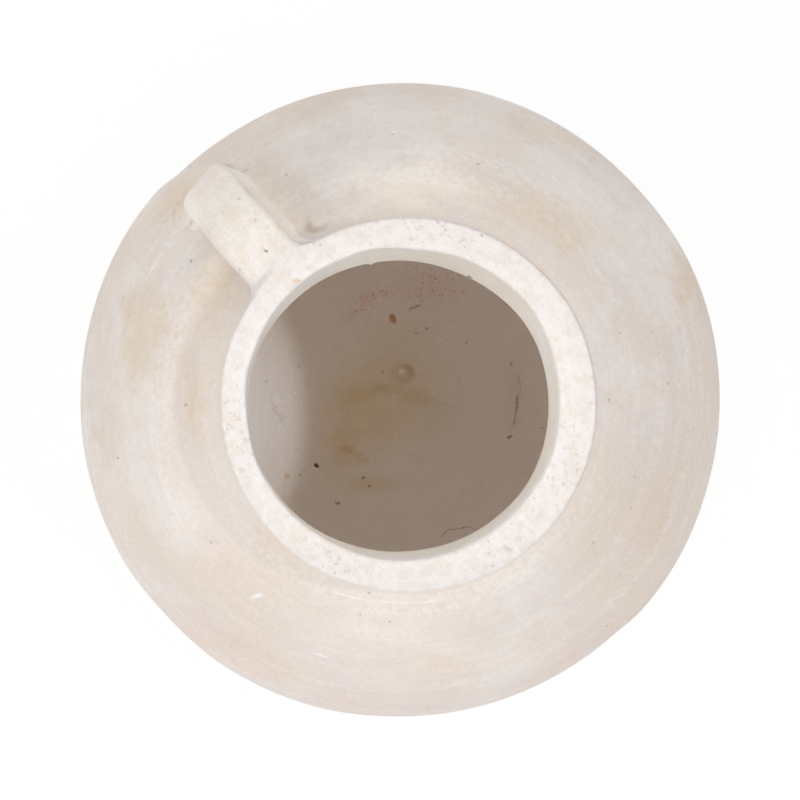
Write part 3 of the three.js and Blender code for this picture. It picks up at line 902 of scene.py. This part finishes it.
def build_piece(node, skin, order, capped):
    """A piece that stands for a node of the solids, which it hides."""
    piece = closed_mesh(f"look_{node}", skin, order, capped)
    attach(piece, "root")
    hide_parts(node)
    return piece


def build_pot():
    """One closed piece for each part that was thrown or coiled."""
    pot = Pot()
    slots = {"base_slab": "body_clay", "lower_body": "body_clay", "upper_body": "body_clay",
             "neck_collar": "neck_clay", "rim_band": "rim_clay"}
    pieces = {}
    for node, slot in slots.items():
        order = np.concatenate([np.arange(start, end + 1) for name, start, end in pot.spans if name == node])
        pieces[node] = build_piece(node, pot.skin, order, node == "base_slab")
    return pieces


def build_handle():
    """The strap, narrower where it stands inside the two wads of clay that hold it."""
    handle = Handle()
    skin = handle.skin
    doubled = Skin(np.concatenate([skin.place, skin.place - handle.side * CORE_INSET]))
    for key in ("normal", *Skin.CARRIED):
        value = getattr(skin, key)
        setattr(doubled, key, np.concatenate([value, value]))
    first = int(np.searchsorted(handle.at, STRAP_LAP + RIM_WAD))
    second = int(np.searchsorted(handle.at, handle.landing - SHOULDER_WAD))
    outer = np.arange(len(handle.at))
    core = outer + len(outer)
    strap = np.concatenate([core[:first + 1], outer[first:second + 1], core[second:]])
    rim_wad = np.concatenate([outer[:first + 1], core[:first + 1][::-1]])
    shoulder_wad = np.concatenate([outer[second:], core[second:][::-1]])
    plan = [("handle_strap", "handle_clay", strap),
            ("handle_rim_joint", "luting_clay", rim_wad),
            ("handle_shoulder_joint", "luting_clay", shoulder_wad)]
    return {node: build_piece(node, doubled, order, order is strap) for node, slot, order in plan}


def srgb(red, green, blue):
    """A colour as it is seen, from 0 to 255, as the shader's linear colour."""
    values = [value / 255 for value in (red, green, blue)]
    linear = [value / 12.92 if value <= 0.04045 else ((value + 0.055) / 1.055) ** 2.4 for value in values]
    return (*linear, 1)


class Nodes:
    """Short calls that build the nodes of a material or of the world."""

    def __init__(self, owner):
        owner.use_nodes = True
        self.owner = owner
        self.tree = owner.node_tree
        self.tree.nodes.clear()

    def node(self, kind, inputs=None, **settings):
        made = self.tree.nodes.new(kind)
        for key, value in settings.items():
            setattr(made, key, value)
        for key, value in (inputs or {}).items():
            if isinstance(value, bpy.types.NodeSocket):
                self.tree.links.new(value, made.inputs[key])
            else:
                made.inputs[key].default_value = value
        return made

    def math(self, operation, first, second):
        return self.node("ShaderNodeMath", {0: first, 1: second}, operation=operation).outputs[0]

    def times(self, first, second):
        return self.math("MULTIPLY", first, second)

    def larger(self, first, second):
        return self.math("MAXIMUM", first, second)

    def total(self, start, *parts):
        """The start and each of some numbers times its weight, added up."""
        for value, weight in parts:
            start = self.math("ADD", start, self.times(value, weight))
        return start

    def step(self, value, low, high, start=0.0, end=1.0):
        """start where value is at most low and end where it is at least high, softly between."""
        made = self.node(
            "ShaderNodeMapRange",
            {"Value": value, "From Min": low, "From Max": high, "To Min": start, "To Max": end},
            interpolation_type="SMOOTHSTEP",
        )
        return made.outputs["Result"]

    def seen_plainly(self):
        """1 where the camera sees a thing, also in a gloss or through glass, and 0 for what it lights."""
        ray = self.node("ShaderNodeLightPath")
        seen = self.larger(ray.outputs["Is Camera Ray"], ray.outputs["Is Glossy Ray"])
        return self.larger(seen, ray.outputs["Is Transmission Ray"])


class Paint(Nodes):
    """Patterns for a material, at sizes in metres."""

    def __init__(self, name):
        super().__init__(bpy.data.materials.new(name))
        self.object_place = self.node("ShaderNodeTexCoord").outputs["Object"]
        self.ragged_place = self.wander(0.7 * MM, 1.3 * MM)

    def wander(self, reach, size):
        """The place, moved about a little, for marks with ragged outlines."""
        lumps = self.node("ShaderNodeTexNoise", {"Vector": self.object_place, "Scale": 1 / size})
        centred = self.node("ShaderNodeVectorMath", {0: lumps.outputs["Color"], 1: (0.5, 0.5, 0.5)},
                            operation="SUBTRACT")
        away = self.node("ShaderNodeVectorMath", {0: centred.outputs[0], "Scale": 2 * reach},
                         operation="SCALE")
        return self.shifted(self.object_place, away.outputs[0])

    def shifted(self, place, shift):
        return self.node("ShaderNodeVectorMath", {0: place, 1: shift}).outputs[0]

    def carried(self, name, output="Fac"):
        """What the mesh carries under a name, as a number or a vector."""
        return self.node("ShaderNodeAttribute", attribute_name=name).outputs[output]

    def noise(self, size, detail=2.0, roughness=0.5, place=None, shift=0.0):
        """Noise from 0 to 1 with lumps of the given size."""
        moved = self.shifted(place or self.object_place, (shift,) * 3)
        inputs = {"Vector": moved, "Scale": 1 / size, "Detail": detail, "Roughness": roughness}
        return self.node("ShaderNodeTexNoise", inputs).outputs["Fac"]

    def mix(self, share, first, second, blend="MIX"):
        """A colour between two others, or the first changed by the second."""
        made = self.node("ShaderNodeMix", {0: share, 6: first, 7: second},
                         data_type="RGBA", blend_type=blend, clamp_factor=True)
        return made.outputs[2]

    def specks(self, spacing, smallest, largest, share, shift=0.0):
        """1 in round specks, one in some of the cells of a random grid."""
        moved = self.shifted(self.ragged_place, (shift,) * 3)
        cells = self.node("ShaderNodeTexVoronoi", {"Vector": moved, "Scale": 1 / spacing})
        pick = self.node("ShaderNodeSeparateColor", {"Color": cells.outputs["Color"]})
        radius = self.step(pick.outputs["Red"], 0, 1, smallest / spacing, largest / spacing)
        chosen = self.math("LESS_THAN", pick.outputs["Green"], share)
        near = self.math("SUBTRACT", 1.0, self.math("DIVIDE", cells.outputs["Distance"], radius))
        return self.times(self.step(near, 0.0, 0.5), chosen)

    def near_spots(self, spots):
        """1 in the middle of each of some spots, falling to 0 at its edge."""
        nearest = 0.0
        for one in spots:
            inputs = {"Vector": self.ragged_place, **one}
            moved = self.node("ShaderNodeMapping", inputs, vector_type="TEXTURE").outputs[0]
            near = self.node("ShaderNodeTexGradient", {"Vector": moved}, gradient_type="SPHERICAL")
            nearest = self.larger(nearest, near.outputs["Fac"])
        return self.step(nearest, 0.1, 0.5)


def photo_ray(x, y):
    """Direction from the camera through a pixel of the photograph."""
    x, y = turned(x - PHOTO_SIZE / 2, PHOTO_SIZE / 2 - y, -PHOTO_TURN)
    return Vector((x, y, -PHOTO_FOCAL)).normalized()


def spot(x, y, half_length, half_width, turn=0.0):
    """The piece of the jug that a pixel of the photograph shows and the spot on it that is seen there."""
    camera = Vector((0, 0, CAMERA_HEIGHT))
    depsgraph = bpy.context.evaluated_depsgraph_get()
    _, place, _, _, piece, _ = bpy.context.scene.ray_cast(depsgraph, camera, photo_ray(x, y))
    size = SPOT_SIZE * (CAMERA_HEIGHT - place.z) / PHOTO_FOCAL
    length, width = half_length * size, half_width * size
    return piece.name, {
        "Location": place,
        "Rotation": (0, 0, PHOTO_TURN + math.radians(turn)),
        "Scale": (length, width, max(SPOT_DEPTH, length)),
    }


def streak(half_width, *points):
    """Spots in a row along a line through pixels of the photograph."""
    found = []
    for (x0, y0), (x1, y1) in zip(points, points[1:]):
        length = math.hypot(x1 - x0, y1 - y0)
        turn = math.degrees(math.atan2(y0 - y1, x1 - x0))
        found.append(spot((x0 + x1) / 2, (y0 + y1) / 2, 0.6 * length, half_width, turn))
    return found


# Colours of the clay, dry and chalky outside, stained inside
PALE = srgb(244, 236.5, 231)
WARM = srgb(239, 225.5, 213.5)
COOL = srgb(236.5, 227, 223)
CHALK = srgb(248, 242, 237)
CREAM = srgb(242, 232, 221)
SAND = srgb(226, 210, 192)
SMUDGE = srgb(206, 190, 176)
INSIDE = srgb(243.5, 237.9, 232.3)

# Small marks on it, in the order in which they are painted
SPOT_SIZE = 1.35
SPOT_DEPTH = 4 * MM
MARK_COLOURS = {
    "ochre": srgb(202, 154, 114),
    "soot": srgb(74, 66, 60),
    "dark": srgb(168, 156, 146),
    "orange": srgb(230, 206, 182),
    "grey": srgb(202, 192, 184),
    "crack": srgb(206, 184, 170),
    "faint": srgb(222, 211, 201),
    # The colour of chips, also used for painted highlights
    "chip_and_highlight": srgb(252, 249, 246),
    "rusty": srgb(206, 170, 156),
}
# Spots: x and y in the photograph, half length, half width and turn
SPOTS = {
    "ochre": {
        "brown_oval": (393, 318.5, 5.4, 3.4, -62),
        "inner_orange_speck": (369.5, 485.8, 1.8, 1.5),
    },
    "soot": {
        "inner_black_oval": (316.8, 465.6, 3.0, 2.0, -35),
    },
    "dark": {
        "inner_low_speck": (363.4, 477.7, 1.8, 1.7),
        "inner_long_speck": (337.8, 503.3, 2.8, 1.5),
        "inner_edge_dot": (469.7, 276.9, 3.0, 1.3, -25),
        "inner_lower_right": (509.8, 437, 3.0, 1.4, 30),
        "strap_black_dot": (266, 251, 2.2, 1.5, -25),
    },
    "orange": {
        "inner_orange_dot": (286.8, 476.4, 3.0, 3.2),
        "rim_orange_stain": (297, 281, 4, 2.2, 10),
        "body_far_right": (668, 383, 1.6, 2.2),
        "body_right": (620, 333, 1.5, 1.5),
        "body_top": (478, 164, 1.5, 1.5),
    },
    "grey": {
        "inner_left_speck": (300.5, 475, 1.2, 1.0),
        "inner_by_nub": (383, 371.5, 1.6, 1.2),
        "inner_high_speck": (416.5, 333.3, 1.6, 1.2),
        "inner_far_right": (542.4, 428.3, 1.6, 1.2),
        "inner_dash": (414.5, 307, 7, 1.3, 22),
        "rim_top_dot": (482, 235, 1.4, 1.4),
        "body_by_strap": (191, 261, 1.6, 2.0),
        "body_left": (186, 405, 1.7, 1.4),
        "body_left_low": (118, 458, 1.5, 1.2),
        "body_lower_left": (211, 542, 1.5, 1.3),
        "body_low_right": (607, 626, 1.5, 1.5),
        "body_by_rim": (609, 400, 1.4, 1.6),
        "body_under_rim": (369, 593, 1.4, 1.2),
        "body_at_notch": (190, 166, 1.6, 1.4),
    },
    "crack": {
        "inner_high_dot": (427, 328.3, 1.5, 1.2),
        "inner_right_dot": (467, 342.4, 1.5, 1.3),
        "inner_crack_top": (511, 363.6, 1.4, 1.8),
    },
    "faint": {
        "inner_left_dot": (299, 366.5, 1.6, 1.4),
        "inner_middle_dot": (348, 413.5, 1.5, 1.3),
        "inner_pale_dot": (266.4, 381.4, 1.8, 1.3),
        "strap_pink_dot": (240, 270, 1.6, 1.4),
        "strap_brown_speck": (320, 245, 1.4, 1.4),
        "strap_right_dot": (255, 220, 1.5, 1.2),
        "strap_grey_pit": (239, 199, 1.5, 1.0),
        "rim_right_dot": (593, 377, 1.6, 1.4),
        "rim_right_low_dot": (591, 403, 1.3, 1.3),
        "rim_low_right_dot": (558, 511, 1.4, 1.2),
        "rim_bottom_dot": (512, 523, 1.4, 1.2),
        "rim_edge_dot": (562, 426, 1.2, 1.2),
        "rim_lower_dot": (534, 498, 1.3, 1.3),
        "body_right_high": (652, 332, 1.4, 1.6),
        "body_right_low": (635, 477, 1.3, 1.3),
        "body_right_lower": (631, 508, 1.3, 1.3),
        "body_lower_right": (593, 542, 1.3, 1.3),
        "body_under_rim_low": (360, 615, 1.4, 1.4),
        "body_upper_left": (286, 175, 1.4, 1.4),
        "body_chip_edge": (392.5, 133.8, 2.6, 0.9, 10),
        "body_olive_smear": (244, 171, 5, 1.4, 20),
    },
    "chip_and_highlight": {
        "rim_chip": (374, 261.5, 2.4, 1.4),
        "body_smear": (257, 596, 9, 2.2, 20),
        "body_chip": (394, 132, 3.4, 1.8, 10),
        "body_left_scuff": (152, 268, 8, 1.2, 60),
        "body_low_scuff": (320, 655, 8, 1.2, -20),
    },
}
# Streaks: colour, half width and the places in the photograph that they pass
STREAKS = {
    "crack_right_top": ("faint", 0.8, (518, 374.5), (521, 388.6), (516.8, 399.4)),
    "crack_right": ("rusty", 1.3, (517.6, 396), (516.8, 408)),
    "crack_right_low": ("grey", 0.9, (516.8, 406), (515.4, 416), (514, 426)),
    "crack_low": ("crack", 0.6, (441.5, 537), (448, 530), (460, 528.5), (468.6, 526.3), (475, 529.6)),
    # A painted highlight along the ridge of clay at the neck's root
    "root_edge_painted_highlight": ("chip_and_highlight", 0.6, (330, 591), (350, 597), (372, 601), (394, 603), (416, 603), (438, 600.5)),
}


def marks_by_piece():
    """The marks that each piece shows, by colour."""
    found = {}
    seen = [(kind, spot(*oval)) for kind, ovals in SPOTS.items() for oval in ovals.values()]
    seen += [(kind, one) for kind, *line in STREAKS.values() for one in streak(*line)]
    for kind, (piece, mark) in seen:
        found.setdefault(piece, {}).setdefault(kind, []).append(mark)
    return found


class Clay(Paint):
    """Dry unglazed clay. The mesh's own numbers say where it is chalky, where it is stained and where light
    and shade are painted on it.
    """

    def __init__(self, name, marks):
        super().__init__(name)
        self.chalk, self.inside = self.carried("chalk"), self.carried("inside")
        strokes = self.carried("strokes", "Vector")
        self.patches = self.noise(26 * MM, 4.0, 0.6, shift=3.1)
        self.blotches = self.noise(7 * MM, 4.0, 0.65, shift=5.7)
        self.smudges = self.noise(3.4 * MM, 3.0, 0.7, shift=20.9)
        self.mottle = self.noise(2.6 * MM, 3.0, 0.6, shift=9.1)
        self.fine = self.noise(1.5 * MM, 2.0, 0.6, shift=12.3)
        self.grain = self.noise(0.9 * MM, 2.0, 0.6)
        self.brushed = self.noise(1.0, 3.0, 0.65, place=strokes)
        self.broad_brushed = self.noise(5.0, 3.0, 0.6, place=strokes, shift=40.0)
        self.find_flecks()
        self.marked = {kind: self.near_spots(marks[kind]) for kind in MARK_COLOURS if kind in marks}
        self.finish(self.flecked(self.toned(self.dry_colour())))

    def find_flecks(self):
        """Small specks all over, and those of the places where the mesh asks for them."""
        flecks = self.node("ShaderNodeSeparateXYZ", {"Vector": self.carried("flecks", "Vector")}).outputs
        self.few_dark = self.specks(17 * MM, 0.3 * MM, 0.7 * MM, 0.5)
        self.few_red = self.specks(21 * MM, 0.4 * MM, 0.8 * MM, 0.5, shift=1.7)
        # Glints: white specks of painted highlight, also smoother and shinier
        self.glints = self.times(self.specks(1.9 * MM, 0.4 * MM, 1.1 * MM, 0.55, shift=4.4), flecks["X"])
        grains = self.specks(1.6 * MM, 0.3 * MM, 1.1 * MM, 0.5, shift=6.2)
        self.rusty = self.times(self.times(grains, self.step(self.mottle, 0.36, 0.56)), flecks["Y"])
        self.pores = self.times(self.specks(2.6 * MM, 0.3 * MM, 0.7 * MM, 0.4, shift=7.9), flecks["Z"])
        self.smudged = self.times(self.step(self.smudges, 0.55, 0.72, 0.0, 0.7), flecks["Z"])

    def dry_colour(self):
        """Cloudy outside, creamy where it is chalky, even inside, and stained, with the painted light and
        shade that the mesh carries.
        """
        broad = self.noise(70 * MM, 2.0, 0.5)
        colour = self.mix(self.step(broad, 0.35, 0.65), PALE, WARM)
        colour = self.mix(self.step(self.patches, 0.42, 0.7, 0.0, 0.6), colour, COOL)
        colour = self.mix(self.step(self.blotches, 0.5, 0.68, 0.0, 0.5), colour, WARM)
        scuffs = self.times(self.step(self.broad_brushed, 0.48, 0.66), self.step(self.mottle, 0.42, 0.58))
        colour = self.mix(self.times(scuffs, 0.4), colour, CHALK)
        creamy = self.mix(self.step(self.blotches, 0.42, 0.62, 0.0, 0.8), CHALK, CREAM)
        colour = self.mix(self.times(self.chalk, 0.92), colour, creamy)
        colour = self.mix(self.inside, colour, INSIDE)
        return self.mix(1.0, colour, self.carried("tint", "Vector"), "MULTIPLY")

    def toned(self, colour):
        """The colour, lighter and darker with the brush's strokes and the grain."""
        outside = self.total(1.0, (self.inside, -0.75))
        streaks = self.total(-0.075, (self.brushed, 0.09), (self.broad_brushed, 0.06))
        grain = [(self.grain, 0.12), (self.mottle, 0.13), (self.fine, 0.10)]
        tone = self.total(0.825, (streaks, outside), *grain)
        grey = self.node("ShaderNodeCombineColor", {"Red": tone, "Green": tone, "Blue": tone})
        colour = self.mix(1.0, colour, grey.outputs["Color"], "MULTIPLY")
        return self.mix(self.step(self.fine, 0.56, 0.74, 0.0, 0.22), colour, SAND)

    def flecked(self, colour):
        """The colour with its specks and marks."""
        layers = [
            (self.smudged, 1.0, SMUDGE),
            (self.rusty, 0.8, MARK_COLOURS["rusty"]),
            (self.pores, 0.4, MARK_COLOURS["dark"]),
            (self.glints, 1.0, MARK_COLOURS["chip_and_highlight"]),
            (self.few_dark, 0.45, MARK_COLOURS["dark"]),
            (self.few_red, 0.7, MARK_COLOURS["orange"]),
        ]
        layers += [(near, 0.92, MARK_COLOURS[kind]) for kind, near in self.marked.items()]
        for share, strength, over in layers:
            colour = self.mix(self.times(share, strength), colour, over)
        return colour

    def finish(self, colour):
        """Rough clay with a little relief, in which all marks but chips and painted highlights are dents."""
        dents = self.times(self.smudged, 0.8)
        for kind, near in self.marked.items():
            dents = dents if kind == "chip_and_highlight" else self.larger(dents, near)
        relief = [(self.brushed, 0.6), (self.grain, 0.3), (self.blotches, 0.7), (self.mottle, 0.4)]
        height = self.total(0.0, *relief, (self.few_dark, -0.5), (dents, -0.35))
        dented = self.node("ShaderNodeBump", {"Height": height, "Strength": 1.0, "Distance": 0.7 * MM})
        shader = self.node("ShaderNodeBsdfPrincipled", {
            "Base Color": colour,
            "Roughness": self.total(self.step(self.blotches, 0.3, 0.7, 0.82, 0.95), (self.glints, -0.5)),
            "Specular IOR Level": self.total(0.25, (self.glints, 0.75)),
            "Normal": dented.outputs["Normal"],
        })
        self.node("ShaderNodeOutputMaterial", {"Surface": shader.outputs["BSDF"]})


# Light enters the jug by the mouth alone, so it has to go on from wall to wall to fill it
DIFFUSE_BOUNCES = 12
WHITE = (1, 1, 1, 1)
FLOOR_SIZE = 8
FLOOR_COLOUR = (0.8, 0.8, 0.8, 1)
FLOOR_PLAIN_SHARE, FLOOR_PLAIN_STRENGTH = 0.8, 1.08

# Light: how bright a white surface that faces each light looks by it alone
SKY = 0.28
PANEL_DISTANCE, PANEL_WIDTH = 2.0, 2.2
# name: picture angle and elevation in degrees, height and brightness
PANELS = {
    "panel_right": (-5, 44, 0.7, 0.39),
    "panel_top": (104, 36, 1.0, 0.31),
    "panel_left": (195, 38, 1.0, 0.26),
    "panel_bottom": (250, 36, 1.0, 0.35),
}
# The lamp that shines into the mouth from the right
MOUTH_LAMP_ANGLE = 3
MOUTH_LAMP_ELEVATION = 62.5
MOUTH_LAMP_DISTANCE = 1.0
MOUTH_LAMP_RADIUS = 56 * MM
MOUTH_LAMP_BEAM = 61 * MM
MOUTH_LAMP_BLEND = 0.2
MOUTH_LAMP_BRIGHTNESS = 0.58


def build_floor():
    """A plain white floor that keeps the jug's soft shadow."""
    bpy.ops.mesh.primitive_plane_add(size=FLOOR_SIZE)
    floor = bpy.context.object
    floor.name = "floor"
    nodes = Nodes(bpy.data.materials.new("floor_white"))
    surface = nodes.node("ShaderNodeMixShader", {
        0: nodes.times(nodes.seen_plainly(), FLOOR_PLAIN_SHARE),
        1: nodes.node("ShaderNodeBsdfDiffuse", {"Color": FLOOR_COLOUR}).outputs[0],
        2: nodes.node("ShaderNodeEmission", {"Color": WHITE, "Strength": FLOOR_PLAIN_STRENGTH}).outputs[0],
    })
    nodes.node("ShaderNodeOutputMaterial", {"Surface": surface.outputs[0]})
    floor.data.materials.append(nodes.owner)


def build_sky():
    """An even white sky that lights the jug less than it shows itself."""
    nodes = Nodes(bpy.data.worlds.new("studio"))
    bpy.context.scene.world = nodes.owner
    strength = nodes.step(nodes.seen_plainly(), 0, 1, SKY, 1.0)
    background = nodes.node("ShaderNodeBackground", {"Color": WHITE, "Strength": strength})
    nodes.node("ShaderNodeOutputWorld", {"Surface": background.outputs["Background"]})


def hang_lamp(data, photo_angle, elevation, distance, target):
    """Hangs a light in a direction from a place that it shines at."""
    made = bpy.data.objects.new(data.name, data)
    turn = PHOTO_TURN + math.radians(photo_angle)
    tilt = math.radians(elevation)
    out = Vector((math.cos(turn) * math.cos(tilt), math.sin(turn) * math.cos(tilt), math.sin(tilt)))
    made.location = Vector(target) + distance * out
    made.rotation_euler = out.to_track_quat("Z", "Y").to_euler()
    made.visible_camera = False
    bpy.context.scene.collection.objects.link(made)


def hang_panel(name, photo_angle, elevation, height, brightness):
    data = bpy.data.lights.new(name, "AREA")
    data.shape = "RECTANGLE"
    data.size = PANEL_WIDTH
    data.size_y = height
    data.energy = brightness * math.pi**2 * PANEL_DISTANCE**2
    hang_lamp(data, photo_angle, elevation, PANEL_DISTANCE, (0, 0, BELLY_HEIGHT))


def hang_mouth_lamp():
    data = bpy.data.lights.new("mouth_lamp", "SPOT")
    data.spot_size = 2 * math.atan(MOUTH_LAMP_BEAM / MOUTH_LAMP_DISTANCE)
    data.spot_blend = MOUTH_LAMP_BLEND
    data.shadow_soft_size = MOUTH_LAMP_RADIUS
    data.energy = MOUTH_LAMP_BRIGHTNESS * 4 * math.pi**2 * MOUTH_LAMP_DISTANCE**2
    target = (*MOUTH_SHIFT, RIM_TOP)
    hang_lamp(data, MOUTH_LAMP_ANGLE, MOUTH_LAMP_ELEVATION, MOUTH_LAMP_DISTANCE, target)


def set_camera():
    data = bpy.data.cameras.new("photo_camera")
    data.sensor_width = SENSOR_WIDTH
    data.lens = PHOTO_FOCAL / PHOTO_SIZE * SENSOR_WIDTH
    data.clip_start = NEAREST_SEEN
    made = bpy.data.objects.new("photo_camera", data)
    made.location = (0, 0, CAMERA_HEIGHT)
    made.rotation_euler = (0, 0, PHOTO_TURN)
    bpy.context.scene.collection.objects.link(made)
    bpy.context.scene.camera = made


scene = bpy.context.scene
scene.view_settings.view_transform = "Standard"
scene.cycles.diffuse_bounces = DIFFUSE_BOUNCES
set_camera()
pieces = {**build_pot(), **build_handle()}
bpy.context.view_layer.update()
marks = marks_by_piece()
for node, piece in pieces.items():
    piece.data.materials.append(Clay(f"{node}_clay", marks.get(piece.name, {})).owner)
build_floor()
build_sky()
for name, where in PANELS.items():
    hang_panel(name, *where)
hang_mouth_lamp()
